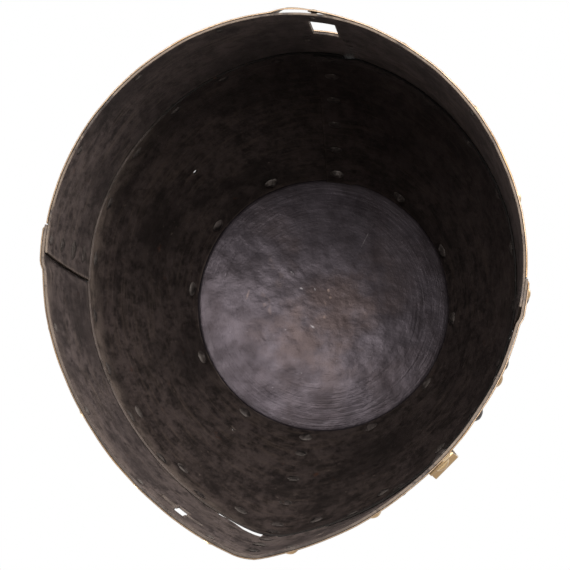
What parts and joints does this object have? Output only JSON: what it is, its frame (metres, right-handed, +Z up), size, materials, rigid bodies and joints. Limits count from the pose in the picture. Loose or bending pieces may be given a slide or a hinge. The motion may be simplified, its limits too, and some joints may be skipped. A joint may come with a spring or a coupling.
{
  "type": "pot helm",
  "caption": "Riveted iron pot helm with a pointed prow, sight slits, small domed crown, brass cross mounts and brass rim band.",
  "frame": {"origin": "bottom centre of the overall box, in the plane of the rim that the helm stands on", "axes": "+Z up, -Y towards the face and the keel of the prow, +X towards the wearer's left"},
  "size_m": [0.2446, 0.2771, 0.3115],
  "materials": {
    "crown_iron": "hammered blue-grey iron with concentric marks and rust spots",
    "dark_iron": "brown-black patinated hammered iron",
    "worn_iron": "brown-grey patinated iron with streaks along the bend",
    "rivet_iron": "dark iron with bright worn tops",
    "aged_brass": "tarnished brass with brown patina"
  },
  "bodies": {
    "root": {"crown_plate": "crown_iron", "upper_plate": "dark_iron", "lower_front_plate": "worn_iron", "lower_rear_plate": "worn_iron", "rim_band_front": "aged_brass", "rim_band_rear": "aged_brass", "keel_strip_upper": "aged_brass", "keel_strip_lower": "aged_brass", "brow_band_left": "aged_brass", "brow_band_right": "aged_brass", "back_slot_plate": "aged_brass", "strap_loop": "aged_brass", "crown_rivets": "rivet_iron", "upper_seam_rivets": "rivet_iron", "waist_rivets": "rivet_iron", "side_rivets_left": "rivet_iron", "side_rivets_right": "rivet_iron", "rim_rivets": "aged_brass", "keel_rivets": "aged_brass", "brow_rivets": "aged_brass", "back_plate_rivets": "aged_brass", "loop_rivets": "aged_brass"}
  },
  "joints": []
}
